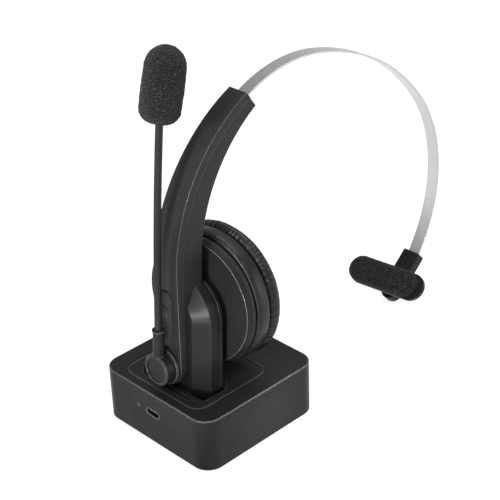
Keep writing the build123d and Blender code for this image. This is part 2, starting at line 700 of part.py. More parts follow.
def cup_shell():
    rim, depth = CUP_RIM_AT, CUP_DEPTH
    outside = [(0, 0), (0, CUP_BACK_R), (rim - 1.2, CUP_R), (rim, CUP_R), (rim, CUP_SPIGOT_R)]
    inside = [(depth, CUP_SPIGOT_R), (depth, CUP_BORE_R), (WALL, CUP_BORE_R), (WALL, 0)]
    shell = spin_x(*outside, *inside)
    for y, z in cup_posts():
        shell += disc_x(2.4, WALL - 0.8, depth, y, z)
        shell -= disc_x(0.95, 4.0, depth + 1, y, z)
    low, high = KNUCKLE_Z[0] - SWIVEL_Z, KNUCKLE_Z[1] - SWIVEL_Z
    shell += block((-CUP_OFFSET, 0.5), (-KNUCKLE_HALF, KNUCKLE_HALF), (low, high))
    shell += disc_z(KNUCKLE_HALF - 0.4, low, high, -CUP_OFFSET)
    return shell - disc_z(SWIVEL_PIN_R + FIT_GAP, low - 1, high + 1, -CUP_OFFSET)


def ear_cushion():
    """A lip that wraps the cup's spigot, and the main roll that lies on the ear."""
    lip = Pos(*LIP_AT) * RectangleRounded(*LIP_SIZE, 1.9)
    back = CUP_DEPTH + BAFFLE_THICK + 0.8
    centre = ((back + CUSHION_FRONT) / 2, (CUSHION_R + CUSHION_HOLE_R) / 2)
    roll = Pos(*centre) * RectangleRounded(CUSHION_FRONT - back, CUSHION_R - CUSHION_HOLE_R, 5.4)
    return revolve(lip + roll, Axis.X, 360)


def cup_pieces():
    place = HEADSET * CUP
    save("cup_shell", cup_shell(), place=place)
    front = CUP_DEPTH + BAFFLE_THICK
    baffle = disc_x(CUP_SPIGOT_R, CUP_DEPTH, front) - disc_x(DRIVER_R + 0.2, CUP_DEPTH - 1, front + 1)
    magnet, basket = (4.2, 9.5), (8.2, DRIVER_R)
    corners = [(magnet[0], 0), magnet, (7.0, magnet[1]), basket, (front, DRIVER_R), (front, 0)]
    screws = []
    for y, z in cup_posts():
        baffle -= disc_x(1.2, CUP_DEPTH - 1, front + 1, y, z)
        baffle -= disc_x(2.0, front - 0.9, front + 1, y, z)
        screws.append(disc_x(1.8, front - 0.9, front - 0.1, y, z) + disc_x(0.9, 4.5, front - 0.5, y, z))
    save("cup_baffle", baffle, place=place)
    save("cup_screws", *screws, place=place)
    save("speaker_driver", spin_x(*corners), place=place)
    save("speaker_cloth", disc_x(CLOTH_R, front + 0.05, front + 0.65), place=place)
    save("ear_cushion", ear_cushion(), place=place)
    low, high = KNUCKLE_Z[0] - MOVE_GAP, KNUCKLE_Z[1] + MOVE_GAP
    pin = disc_z(SWIVEL_PIN_R, low - EAR_THICK + 0.6, high + EAR_THICK - 0.6, SWIVEL_X)
    save("swivel_pin", pin, place=HEADSET)


os.makedirs("parts", exist_ok=True)
stand_pieces()
arm_pieces()
boom_pieces()
band_pieces()
cup_pieces()
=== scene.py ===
import json
import math

import bpy
import numpy as np
from mathutils import Matrix, Quaternion, Vector, noise


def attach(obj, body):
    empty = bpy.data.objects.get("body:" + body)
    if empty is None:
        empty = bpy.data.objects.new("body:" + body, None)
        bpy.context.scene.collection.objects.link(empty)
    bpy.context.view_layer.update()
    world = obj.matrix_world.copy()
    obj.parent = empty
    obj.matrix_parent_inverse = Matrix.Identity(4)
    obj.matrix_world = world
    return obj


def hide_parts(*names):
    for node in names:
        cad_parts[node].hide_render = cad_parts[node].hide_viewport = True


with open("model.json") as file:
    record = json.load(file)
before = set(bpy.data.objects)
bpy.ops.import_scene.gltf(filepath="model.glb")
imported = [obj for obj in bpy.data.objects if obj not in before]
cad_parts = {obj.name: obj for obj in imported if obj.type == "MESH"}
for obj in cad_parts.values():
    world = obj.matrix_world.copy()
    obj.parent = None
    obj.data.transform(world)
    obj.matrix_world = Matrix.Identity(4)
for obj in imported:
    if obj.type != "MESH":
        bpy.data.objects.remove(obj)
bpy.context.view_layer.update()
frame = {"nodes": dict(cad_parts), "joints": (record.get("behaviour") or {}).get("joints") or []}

# Mono headset with a boom microphone in its charging stand. Metres, in the CAD model's frame.
MM = 0.001
JOINTS = {joint["name"]: joint for joint in frame["joints"]}
UP = Vector(JOINTS["headset_lift"]["axis"])
LEAN = math.atan2(UP.x, UP.z)
HEADSET = Matrix.Rotation(LEAN, 4, "Y")

# Ear cushion, in the cup's frame: X runs along the cup's own axis, towards the ear
CUP_TURN = math.radians(4.5)
CUP_OFFSET = 5.2 * MM
CUSHION_FROM = 5.3 * MM
CUSHION_TO = 24.4 * MM
CUSHION_R = 34.5 * MM
CUSHION_HOLE_R = 17.5 * MM
LIP_R = 34.4 * MM
SEAM_AT = 14.0 * MM
SEAM_R = 32.2 * MM
BASE_R = 31.0 * MM
HELD_R = 31.0 * MM
BACK_POINTS = ((SEAM_AT, 24.0 * MM), (SEAM_AT - 0.2 * MM, 28.5 * MM), (10.0 * MM, BASE_R - 0.4 * MM))
RING_STEPS = 300
PUCKERS = 88
DRIFT_RATE = 9
GATHER_RATE = 14
CREASE_RATE = 34
GATHER_DEPTH = 0.55 * MM
GATHER_FADE = 3.6 * MM
CREASE_DEPTH = 0.05 * MM
CREASE_FADE = 13 * MM
LIP_GATHER_DEPTH = 0.18 * MM
LIP_GATHER_FADE = 1.2 * MM

# Cushion cover's simulation: air pressure, frames, growth of the cloth, and the longest move of each part
PRESSURE = 3.0
FRAMES = 14
GROWTH = 0.03
LIP_REACH = 0.2 * MM
ROLL_REACH = 0.9 * MM

# Temple pad, in the clip's frame: X points away from the head
CLIP_TURN = math.radians(44.6)
TILT_X = -5.8 * MM
PLATE_FROM = -11.4 * MM
PAD_ROLL = math.radians(-4.0)
PAD_LENGTH = 44.4 * MM
PAD_SHIFT = 1.7 * MM
PAD_WIDTH = 15.2 * MM
PAD_THICK = 5.4 * MM
PAD_SHOULDER = 3.4 * MM
PAD_CROWN = 0.12 * MM

# Gooseneck and windscreen
STALK_R = 1.85 * MM
STALK_START = Vector((-34.1, 0, 55.2)) * MM
STALK_HEADING = math.radians(90.6)
STALK_ARCS = ((1500 * MM, math.radians(4.18)), (62 * MM, math.radians(7.0)))
STRANDS = 4
STRAND_PITCH = 4.4 * MM
STRAND_RELIEF = 0.3 * MM
FOAM_R = 9.5 * MM
FOAM_FROM = -9.0 * MM
FOAM_TO = 25.5 * MM
FOAM_FOOT = 6.0 * MM
FOAM_CELL = 0.8 * MM
MIC_PIT_DEPTH = 0.3 * MM
PAD_PIT_DEPTH = 0.22 * MM

# Key symbols, raised on the keys' front faces
KEY_FRONT = -29.9 * MM
SYMBOL_HEIGHT = 0.12 * MM
SYMBOL_HALF = 0.28 * MM
SYMBOL_REACH = 1.35 * MM
SYMBOL_RING_R = 1.15 * MM
SYMBOLS = {
    "volume_up_button": (74.8 * MM, "plus"),
    "call_button": (66.4 * MM, "ring"),
    "volume_down_button": (58.0 * MM, "minus"),
}

# Camera, floor and lights
CAMERA_AIM = Vector((0.0431, 0.0129, 0.0691))
CAMERA_DISTANCE = 0.692
CAMERA_AZIMUTH = math.radians(-43.82)
CAMERA_ELEVATION = math.radians(29.48)
CAMERA_ROLL = math.radians(-1.97)
CAMERA_LENS = 98.99
SENSOR = 36.0
FLOOR_HALF = 8.0
FLOOR_GLOW = 0.82


# ------------------------------------------------------------------ meshes


def new_object(name, points, faces, smooth=True):
    """A mesh object in the scene, from its points and faces."""
    mesh = bpy.data.meshes.new(name)
    mesh.from_pydata([tuple(p) for p in points], [], faces)
    mesh.validate()
    mesh.update()
    if smooth:
        mesh.shade_smooth()
    piece = bpy.data.objects.new(name, mesh)
    bpy.context.scene.collection.objects.link(piece)
    return piece


def grid_faces(rows, columns, wrap_rows=False, wrap_columns=False):
    """Quads between neighbours of a rows x columns grid of points."""
    faces = []
    for i in range(rows if wrap_rows else rows - 1):
        for j in range(columns if wrap_columns else columns - 1):
            i2, j2 = (i + 1) % rows, (j + 1) % columns
            faces.append((i * columns + j, i * columns + j2, i2 * columns + j2, i2 * columns + j))
    return faces


def place(piece, matrix):
    """Moves a piece's points, so that its own frame stays the world's."""
    piece.data.transform(matrix)
    piece.data.update()


def coordinates(piece):
    """The piece's points as an array with a row for each."""
    flat = np.zeros(len(piece.data.vertices) * 3)
    piece.data.vertices.foreach_get("co", flat)
    return flat.reshape(-1, 3)


def set_coordinates(piece, points):
    piece.data.vertices.foreach_set("co", np.asarray(points, np.float32).ravel())
    piece.data.update()


def apply_modifiers(piece):
    """Leaves the piece with its evaluated mesh and no modifiers."""
    graph = bpy.context.evaluated_depsgraph_get()
    mesh = bpy.data.meshes.new_from_object(piece.evaluated_get(graph))
    piece.modifiers.clear()
    piece.data = mesh
    mesh.shade_smooth()


def subdivide(piece):
    """Splits each face in four, on a smooth surface."""
    piece.modifiers.new("Subdivision", "SUBSURF").levels = 1
    apply_modifiers(piece)


def inflate(piece, limit, pinned):
    """Puffs a closed cloth out by simulation. pinned is each vertex's hold, limit its longest move."""
    start = coordinates(piece)
    holds = piece.vertex_groups.new(name="hold")
    for index, weight in enumerate(pinned):
        holds.add([index], float(weight), "REPLACE")
    cloth = piece.modifiers.new("Cloth", "CLOTH")
    settings = cloth.settings
    settings.quality = 6
    settings.mass = 0.2
    settings.tension_stiffness = 15.0
    settings.compression_stiffness = 15.0
    settings.shear_stiffness = 5.0
    settings.bending_stiffness = 0.05
    settings.air_damping = 5.0
    settings.use_pressure = True
    settings.uniform_pressure_force = PRESSURE
    settings.shrink_min = -GROWTH
    settings.vertex_group_mass = "hold"
    settings.effector_weights.gravity = 0
    cloth.collision_settings.use_collision = False
    cloth.point_cache.frame_end = FRAMES
    scene = bpy.context.scene
    for number in range(1, FRAMES + 1):
        scene.frame_set(number)
    apply_modifiers(piece)
    scene.frame_set(1)
    moved = coordinates(piece)
    step = moved - start
    length = np.linalg.norm(step, axis=1, keepdims=True)
    set_coordinates(piece, start + step * np.minimum(1, limit[:, None] / np.maximum(length, 1e-9)))
    piece.vertex_groups.clear()


# ------------------------------------------------------------------ materials

EVEN = (1.0, 1.0, 1.0)
THREADS_PER_METRE = 900.0


class Look:
    """A node-based material with short helpers for adding and joining nodes."""

    def __init__(self, name):
        self.material = bpy.data.materials.new(name)
        self.material.use_nodes = True
        self.tree = self.material.node_tree
        self.shader = self.tree.nodes["Principled BSDF"]
        self.place = self.add("ShaderNodeTexCoord").outputs["Object"]

    def add(self, kind, **settings):
        node = self.tree.nodes.new(kind)
        for name, value in settings.items():
            setattr(node, name, value)
        return node

    def join(self, source, target):
        self.tree.links.new(source, target)

    def noise(self, size, detail=3.0, stretch=None):
        """A noise value whose blotches are about size metres across."""
        node = self.add("ShaderNodeTexNoise")
        node.inputs["Scale"].default_value = 1.0 / size
        node.inputs["Detail"].default_value = detail
        source = self.place
        if stretch:
            mapping = self.add("ShaderNodeMapping")
            mapping.inputs["Scale"].default_value = stretch
            self.join(source, mapping.inputs["Vector"])
            source = mapping.outputs["Vector"]
        self.join(source, node.inputs["Vector"])
        return node.outputs["Fac"]

    def cells(self, size, feature="F1"):
        """The distance within cells that are about size metres across."""
        node = self.add("ShaderNodeTexVoronoi", feature=feature)
        node.inputs["Scale"].default_value = 1.0 / size
        self.join(self.place, node.inputs["Vector"])
        return node.outputs["Distance"]

    def spread(self, value, low, high, to_low, to_high):
        """Maps a value from low..high onto to_low..to_high, and holds it there."""
        node = self.add("ShaderNodeMapRange")
        for name, number in (("From Min", low), ("From Max", high), ("To Min", to_low), ("To Max", to_high)):
            node.inputs[name].default_value = number
        self.join(value, node.inputs["Value"])
        return node.outputs["Result"]

    def math(self, operation, first, second):
        node = self.add("ShaderNodeMath", operation=operation)
        for socket, value in zip(node.inputs, (first, second)):
            if isinstance(value, (int, float)):
                socket.default_value = value
            else:
                self.join(value, socket)
        return node.outputs["Value"]

    def blend(self, share, first, second):
        """Mixes two colours, given as RGB triples or sockets."""
        node = self.add("ShaderNodeMix", data_type="RGBA")
        self.join(share, node.inputs["Factor"])
        for socket, value in ((node.inputs[6], first), (node.inputs[7], second)):
            if isinstance(value, tuple):
                socket.default_value = (*value, 1.0)
            else:
                self.join(value, socket)
        return node.outputs[2]

    def edges(self, radius):
        """A mask, 0 on flat ground and 1 within about radius of an edge, and the rounded normal there."""
        bevel = self.add("ShaderNodeBevel", samples=6)
        bevel.inputs["Radius"].default_value = radius
        flat = self.add("ShaderNodeNewGeometry")
        dot = self.add("ShaderNodeVectorMath", operation="DOT_PRODUCT")
        self.join(bevel.outputs["Normal"], dot.inputs[0])
        self.join(flat.outputs["Normal"], dot.inputs[1])
        return self.spread(dot.outputs["Value"], 0.995, 0.9, 0.0, 1.0), bevel.outputs["Normal"]

    def relief(self, height, depth, normal=None, strength=1.0):
        """Raises the surface by height times depth, over the rounded normal if there is one."""
        bump = self.add("ShaderNodeBump")
        bump.inputs["Strength"].default_value = strength
        bump.inputs["Distance"].default_value = depth
        self.join(height, bump.inputs["Height"])
        if normal is not None:
            self.join(normal, bump.inputs["Normal"])
        self.join(bump.outputs["Normal"], self.shader.inputs["Normal"])


def grey(level, coolness=0.0):
    return (level * (1 - coolness), level, level * (1 + coolness))


def moulded_plastic(name, level, roughness=0.42, painted_edge_highlight=0.05, edge=0.4 * MM, polish=0.3, specular=0.12):
    """Satin moulded plastic: fine spark-eroded grain, cloudy gloss, polished edges and a painted highlight
    along the edges.
    """
    look = Look(name)
    painted_edge_mask, rounded = look.edges(edge)
    cloud = look.spread(look.noise(9 * MM), 0.35, 0.65, 0.0, 1.0)
    base = look.blend(cloud, grey(level * 0.92, 0.01), grey(level * 1.08, 0.015))
    fleck = look.spread(look.noise(0.5 * MM, 1.0), 0.62, 0.8, 0.0, 0.25)
    base = look.blend(fleck, base, grey(level * 1.6))
    # Painted highlight: the colour turns lighter within the bevel radius of every edge.
    base = look.blend(painted_edge_mask, base, grey(painted_edge_highlight))
    look.join(base, look.shader.inputs["Base Color"])
    gloss = look.spread(look.noise(4 * MM), 0.3, 0.7, roughness - 0.04, roughness + 0.05)
    gloss = look.math("SUBTRACT", gloss, look.math("MULTIPLY", painted_edge_mask, 0.15))
    look.join(gloss, look.shader.inputs["Roughness"])
    look.shader.inputs["Specular IOR Level"].default_value = specular
    look.join(look.spread(painted_edge_mask, 0.0, 1.0, specular, polish), look.shader.inputs["Specular IOR Level"])
    look.relief(look.noise(0.45 * MM, 2.0), 0.018 * MM, rounded, 0.6)
    return look.material


def open_cell_foam(name, level=0.004):
    """Black open-cell foam: painted shade in the pits and painted highlights on the raised, fuzzy cell
    walls.
    """
    look = Look(name)
    pit = look.cells(0.7 * MM)
    pit = look.spread(pit, 0.0, 0.75, 0.0, 1.0)
    wall = look.spread(look.noise(0.55 * MM, 2.0), 0.56, 0.68, 0.0, 1.0)
    # Painted shade in the recessed pits, painted highlights on the raised cell walls.
    base = look.blend(pit, grey(level * 0.3), grey(level * 1.6))
    base = look.blend(wall, base, grey(level * 14))
    look.join(base, look.shader.inputs["Base Color"])
    look.shader.inputs["Roughness"].default_value = 0.95
    look.shader.inputs["Specular IOR Level"].default_value = 0.2
    look.shader.inputs["Sheen Weight"].default_value = 0.05
    look.shader.inputs["Sheen Roughness"].default_value = 0.6
    look.relief(look.math("ADD", pit, look.math("MULTIPLY", wall, 0.5)), 0.35 * MM)
    return look.material


def leatherette(name, level=0.008):
    """Black protein leather: pebbled grain, soft gloss and paler stretched ridges."""
    look = Look(name)
    pebble = look.cells(0.6 * MM, "SMOOTH_F1")
    crease = look.noise(0.35 * MM, 4.0)
    cloud = look.spread(look.noise(6 * MM), 0.35, 0.65, 0.0, 1.0)
    base = look.blend(cloud, grey(level * 0.85), grey(level * 1.2))
    base = look.blend(look.spread(crease, 0.55, 0.75, 0.0, 0.2), base, grey(level * 1.6))
    look.join(base, look.shader.inputs["Base Color"])
    gloss = look.spread(look.noise(2.5 * MM), 0.3, 0.7, 0.34, 0.42)
    look.join(gloss, look.shader.inputs["Roughness"])
    look.shader.inputs["Specular IOR Level"].default_value = 0.28
    height = look.math("ADD", pebble, look.math("MULTIPLY", crease, 0.6))
    look.relief(height, 0.02 * MM)
    return look.material


def brushed_metal(name, level, streak=EVEN):
    """Satin metal with fine lines, which streak stretches, and painted shade on its rounded edges."""
    look = Look(name)
    painted_edge_mask, rounded = look.edges(0.35 * MM)
    line = look.noise(6 * MM, 4.0, streak)
    base = look.blend(look.spread(line, 0.3, 0.7, 0.0, 1.0), grey(level * 0.93), grey(level * 1.06))
    # Painted shade: the colour turns darker within the bevel radius of every edge.
    base = look.blend(painted_edge_mask, base, grey(level * 0.4))
    look.join(base, look.shader.inputs["Base Color"])
    look.join(look.spread(line, 0.3, 0.7, 0.25, 0.37), look.shader.inputs["Roughness"])
    look.shader.inputs["Metallic"].default_value = 1.0
    look.relief(line, 0.01 * MM, rounded, 0.4)
    return look.material


def braided_sleeve(name, level=0.009):
    """Black braid of fine threads, some paler."""
    look = Look(name)
    strand = look.noise(0.25 * MM, 2.0)
    base = look.blend(look.spread(strand, 0.4, 0.7, 0.0, 1.0), grey(level * 0.5), grey(level * 2.0))
    look.join(base, look.shader.inputs["Base Color"])
    look.join(look.spread(strand, 0.3, 0.7, 0.45, 0.6), look.shader.inputs["Roughness"])
    look.shader.inputs["Specular IOR Level"].default_value = 0.25
    look.relief(strand, 0.03 * MM)
    return look.material


def circuit_board(name):
    """Green solder mask over raised tracks."""
    look = Look(name)
    track = look.spread(look.cells(1.6 * MM, "DISTANCE_TO_EDGE"), 0.04, 0.07, 1.0, 0.0)
    base = look.blend(track, (0.01, 0.1, 0.045), (0.03, 0.2, 0.08))
    look.join(base, look.shader.inputs["Base Color"])
    look.join(look.spread(look.noise(1 * MM), 0.3, 0.7, 0.3, 0.45), look.shader.inputs["Roughness"])
    look.relief(track, 0.03 * MM)
    return look.material


def frosted_lens(name):
    """Smoky, cloudy plastic of a light that is off."""
    look = Look(name)
    cloud = look.noise(0.3 * MM)
    base = look.blend(cloud, (0.012, 0.013, 0.014), (0.035, 0.037, 0.04))
    look.join(base, look.shader.inputs["Base Color"])
    look.join(look.spread(cloud, 0.3, 0.7, 0.15, 0.3), look.shader.inputs["Roughness"])
    return look.material


def woven_cloth(name, level=0.012):
    """Black acoustic cloth: threads that cross."""
    look = Look(name)
    waves = []
    for axis in ("Y", "Z"):
        wave = look.add("ShaderNodeTexWave", bands_direction=axis)
        wave.inputs["Scale"].default_value = THREADS_PER_METRE
        look.join(look.place, wave.inputs["Vector"])
        waves.append(wave.outputs["Fac"])
    weave = look.math("MULTIPLY", *waves)
    look.join(look.blend(weave, grey(level * 0.5), grey(level * 2)), look.shader.inputs["Base Color"])
    look.join(look.spread(weave, 0, 1, 0.95, 0.8), look.shader.inputs["Roughness"])
    look.relief(weave, 0.08 * MM)
    return look.material


def gold_plate(name):
    """Gold-plated contact metal, slightly cloudy."""
    look = Look(name)
    look.shader.inputs["Metallic"].default_value = 1.0
    base = look.blend(look.noise(0.5 * MM), (0.75, 0.52, 0.18), (0.85, 0.62, 0.28))
    look.join(base, look.shader.inputs["Base Color"])
    look.join(look.spread(look.noise(0.3 * MM), 0.3, 0.7, 0.2, 0.35), look.shader.inputs["Roughness"])
    return look.material


def wear(material, *names):
    """Gives CAD nodes their material."""
    for name in names:
        slots = frame["nodes"][name].data.materials
        slots.clear()
        slots.append(material)


# ------------------------------------------------------------------ pieces


def cup_frame():
    """The ear cup's own frame, on its swivel pin behind the pod."""
    pivot = Matrix.Translation(JOINTS["ear_cup_swivel"]["pos_m"])
    return pivot @ HEADSET @ Matrix.Rotation(CUP_TURN, 4, "Z") @ Matrix.Translation((CUP_OFFSET, 0, 0))


def clip_frame():
    """The clip's frame with its origin on the temple pad's pivot."""
    pivot = Matrix.Translation(JOINTS["temple_tilt"]["pos_m"])
    return pivot @ HEADSET @ Matrix.Rotation(CLIP_TURN, 4, "Y")


def superarc(centre, half, angle_from, angle_to, steps, power=1.0):
    """Points (x, r) on an ellipse between two angles, given from +x towards +r."""
    points = []
    for step in range(steps):
        angle = math.radians(angle_from + (angle_to - angle_from) * step / (steps - 1))
        c, s = math.cos(angle), math.sin(angle)
        x = centre[0] + half[0] * math.copysign(abs(c) ** power, c)
        r = centre[1] + half[1] * math.copysign(abs(s) ** power, s)
        points.append((x, r))
    return points


def cushion_profile():
    """The cushion's section: a lip roll by the cup, a seam, then the main roll round to the hole."""
    lip_half = ((SEAM_AT - CUSHION_FROM) / 2, (LIP_R - BASE_R) / 2)
    lip_centre = ((SEAM_AT + CUSHION_FROM) / 2, LIP_R - lip_half[1])
    lip = superarc(lip_centre, lip_half, 215, 28, 13, 0.8)
    roll_half = ((CUSHION_TO - SEAM_AT) / 2, (CUSHION_R - CUSHION_HOLE_R) / 2)
    roll_centre = ((CUSHION_TO + SEAM_AT) / 2, (CUSHION_R + CUSHION_HOLE_R) / 2)
    outside = superarc(roll_centre, roll_half, 160, 0, 22, 0.95)
    inside = superarc(roll_centre, roll_half, -6, -172, 16, 0.72)
    return [*lip, (SEAM_AT, SEAM_R), *outside, *inside, *BACK_POINTS]


def ear_cushion():
    """The cushion's leather cover: its section turned round the cup's axis, puffed out and creased."""
    profile = cushion_profile()
    points = []
    for x, r in profile:
        for step in range(RING_STEPS):
            angle = math.tau * step / RING_STEPS
            points.append((x, r * math.cos(angle), r * math.sin(angle)))
    piece = new_object("cushion_cover", points, grid_faces(len(profile), RING_STEPS, True, True))
    profile_r = np.repeat([r for _, r in profile], RING_STEPS)
    profile_x = np.repeat([x for x, _ in profile], RING_STEPS)
    near_seam = np.hypot(profile_x - SEAM_AT, profile_r - SEAM_R)
    held = np.clip(1.4 - near_seam / (1.0 * MM), 0, 1)
    held = np.maximum(held, (profile_x < CUSHION_FROM + 0.8 * MM) * 1.0)
    held = np.maximum(held, ((profile_r < HELD_R) & (profile_x < SEAM_AT + 0.6 * MM)) * 1.0)
    inflate(piece, np.where(profile_x < SEAM_AT, LIP_REACH, ROLL_REACH), held)
    subdivide(piece)
    crease_cushion(piece)
    place(piece, cup_frame())
    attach(piece, "ear_cup")
    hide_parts("ear_cushion")
    return piece


def crease_cushion(piece):
    """Gathers the main roll's leather at the seam, and adds fine creases that run across it."""
    points = coordinates(piece)
    radius = np.hypot(points[:, 1], points[:, 2])
    angle = np.arctan2(points[:, 2], points[:, 1])
    x = points[:, 0]
    outward = np.stack([np.zeros_like(x), points[:, 1] / radius, points[:, 2] / radius], 1)
    gather = np.zeros(len(points))
    fine = np.zeros(len(points))
    for index, turn in enumerate(angle):
        away = (x[index] - SEAM_AT) / MM
        c, s = math.cos(turn), math.sin(turn)
        drift = noise.noise(Vector((c * DRIFT_RATE, s * DRIFT_RATE, away * 0.12)))
        gather[index] = noise.noise(Vector((c * GATHER_RATE + drift, s * GATHER_RATE, away * 0.10 + 3)))
        gather[index] += 0.6 * math.sin(PUCKERS * turn + 5 * drift)
        ridge = noise.noise(Vector((c * CREASE_RATE, s * CREASE_RATE, away * 0.16 + 9)))
        fine[index] = 1 - 2 * abs(ridge)
    on_roll = np.clip((x - SEAM_AT) / (0.8 * MM), 0, 1) * np.clip((radius - 26 * MM) / (4 * MM), 0, 1)
    fade = np.exp(-np.maximum(x - SEAM_AT, 0) / GATHER_FADE)
    tail = np.clip(1 - (x - SEAM_AT) / CREASE_FADE, 0, 1)
    depth = on_roll * (gather * fade * GATHER_DEPTH + fine * tail * CREASE_DEPTH)
    on_lip = np.clip((SEAM_AT - x) / (0.5 * MM), 0, 1)
    on_lip *= np.exp(-np.maximum(SEAM_AT - x, 0) / LIP_GATHER_FADE)
    depth += on_lip * gather * LIP_GATHER_DEPTH
    set_coordinates(piece, points + outward * depth[:, None])


def stalk_point(length):
    """A point of the gooseneck's line and the way it heads there, in the headset's frame."""
    point, heading = STALK_START.copy(), STALK_HEADING
    for radius, turn in STALK_ARCS:
        bend = min(turn, max(0.0, length / radius))
        after = heading - bend
        across = math.sin(heading) - math.sin(after)
        up = math.cos(after) - math.cos(heading)
        point += Vector((across, 0, up)) * radius
        heading = after
        length -= radius * turn
    return point, Vector((math.cos(heading), 0, math.sin(heading)))


def stalk_length():
    """From the boom's neck to the tip, inside the windscreen."""
    return sum(radius * turn for radius, turn in STALK_ARCS)


def gooseneck():
    """The bendable stalk in a braided sleeve: two sets of strands that cross."""
    length = stalk_length()
    rings, steps = int(length / (0.22 * MM)), 36
    points = []
    for ring in range(rings + 1):
        along = length * ring / rings
        point, heading = stalk_point(along)
        side = Vector((0, 1, 0))
        front = heading.cross(side)
        for step in range(steps):
            turn = math.tau * step / steps
            twist = math.tau * along / STRAND_PITCH
            first = abs(math.sin(STRANDS * (turn + twist) / 2))
            second = abs(math.sin(STRANDS * (turn - twist) / 2))
            rise = max(first, second) ** 0.5 * (0.6 + 0.4 * first * second)
            radius = STALK_R + STRAND_RELIEF * (rise - 1)
            points.append(point + (side * math.cos(turn) + front * math.sin(turn)) * radius)
    faces = grid_faces(rings + 1, steps, False, True)
    last = rings * steps
    faces.append(tuple(reversed(range(steps))))
    faces.append(tuple(range(last, last + steps)))
    piece = new_object("gooseneck_sleeve", points, faces)
    place(piece, HEADSET)
    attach(piece, "boom")
    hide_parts("gooseneck")
    return piece


def tip_frame():
    """The frame of the gooseneck's tip: Z runs on along the stalk."""
    point, heading = stalk_point(stalk_length())
    turn = Matrix.Rotation(math.pi / 2 - math.atan2(heading.z, heading.x), 4, "Y")
    return HEADSET @ Matrix.Translation(point) @ turn


def roughen(piece, amount):
    """Pits a foam's surface along its normals, cell by cell."""
    points = coordinates(piece)
    normals = np.zeros(len(points) * 3)
    piece.data.vertices.foreach_get("normal", normals)
    normals = normals.reshape(-1, 3)
    depth = np.zeros(len(points))
    for index, point in enumerate(points):
        spot = Vector(point)
        near = noise.voronoi(spot / FOAM_CELL)[0]
        depth[index] = near[0] - 0.45 + 0.5 * noise.noise(spot / (FOAM_CELL * 2.2))
    set_coordinates(piece, points + normals * (depth * amount)[:, None])


def windscreen_radius(along):
    """The windscreen's outline from its foot up: tucked in at the foot, nearly straight, a round crown."""
    height = FOAM_TO - FOAM_FROM
    radius = FOAM_R * (0.97 + 0.03 * math.sin(math.pi * min(1.0, along / (0.8 * height))))
    if along < FOAM_FOOT:
        radius -= FOAM_FOOT * (1 - math.sqrt(max(0.0, 1 - (1 - along / FOAM_FOOT) ** 2)))
    if along > height - FOAM_R:
        radius *= math.sqrt(max(0.0, 1 - ((along - height + FOAM_R) / FOAM_R) ** 2))
    return radius


def windscreen():
    """The microphone's foam: a foot that closes round the stalk, sides and crown, all pitted."""
    rings, foot_rings, steps = 110, 8, 190
    entry = STALK_R + 0.1 * MM
    low_radius = windscreen_radius(0.0)
    outline = []
    for ring in range(foot_rings):
        outline.append((entry + (low_radius - entry) * ring / foot_rings, FOAM_FROM))
    for ring in range(rings + 1):
        along = (FOAM_TO - FOAM_FROM) * (0.5 - 0.5 * math.cos(math.pi * ring / rings))
        outline.append((max(windscreen_radius(along), 0.05 * MM), FOAM_FROM + along))
    points = []
    for radius, height in outline:
        for step in range(steps):
            turn = math.tau * step / steps
            points.append((radius * math.cos(turn), radius * math.sin(turn), height))
    last = (len(outline) - 1) * steps
    faces = grid_faces(len(outline), steps, False, True)
    faces.append(tuple(range(last, last + steps)))
    faces.append(tuple(reversed(range(steps))))
    piece = new_object("windscreen_foam", points, faces)
    roughen(piece, MIC_PIT_DEPTH)
    place(piece, tip_frame())
    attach(piece, "boom")
    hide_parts("foam_windscreen")
    return piece


def stadium_outline(length, width, steps):
    """Points (y, z) round a plate with round ends, evenly spaced."""
    straight = length - width
    radius = width / 2
    around = 2 * straight + math.tau * radius
    points = []
    for step in range(steps):
        along = around * step / steps
        if along < straight:
            points.append((straight / 2 - along, radius))
            continue
        along -= straight
        if along < math.pi * radius:
            turn = math.pi / 2 + along / radius
            points.append((-straight / 2 + radius * math.cos(turn), radius * math.sin(turn)))
            continue
        along -= math.pi * radius
        if along < straight:
            points.append((-straight / 2 + along, -radius))
            continue
        turn = -math.pi / 2 + (along - straight) / radius
        points.append((straight / 2 + radius * math.cos(turn), radius * math.sin(turn)))
    return points


def temple_foam():
    """The temple pad's foam: flat in its middle, with soft round shoulders."""
    steps, back = 330, PLATE_FROM - TILT_X
    side = PAD_THICK - PAD_SHOULDER
    levels = ((0.25 * MM, 0.0), (0.0, 0.0), (0.0, 0.35), (0.0, 0.7), (0.0, 1.0))
    rings = [(inset, -share * side) for inset, share in levels]
    for step in range(1, 15):
        turn = math.pi / 2 * step / 14
        rings.append((PAD_SHOULDER * (1 - math.cos(turn)), -side - PAD_SHOULDER * math.sin(turn)))
    for step in range(1, 11):
        inset = PAD_SHOULDER + (PAD_WIDTH / 2 - PAD_SHOULDER) * step / 10.5
        rings.append((inset, -PAD_THICK - PAD_CROWN * step / 10))
    points = []
    for inset, depth in rings:
        outline = stadium_outline(PAD_LENGTH - 2 * inset, PAD_WIDTH - 2 * inset, steps)
        points.extend((back + depth, y + PAD_SHIFT, z) for y, z in outline)
    faces = grid_faces(len(rings), steps, False, True)
    last = (len(rings) - 1) * steps
    faces.append(tuple(reversed(range(steps))))
    faces.append(tuple(range(last, last + steps)))
    piece = new_object("temple_foam", points, faces)
    roughen(piece, PAD_PIT_DEPTH)
    place(piece, clip_frame() @ Matrix.Rotation(PAD_ROLL, 4, "X"))
    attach(piece, "temple_pad")
    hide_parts("temple_foam_pad")
    return piece


def raised_bar(half_y, half_z):
    """Corners (y, z) of a bar with round ends along Y or Z, whichever is longer."""
    length, width = 2 * max(half_y, half_z), 2 * min(half_y, half_z)
    outline = stadium_outline(length, width, 40)
    return outline if half_y > half_z else [(-z, y) for y, z in outline]


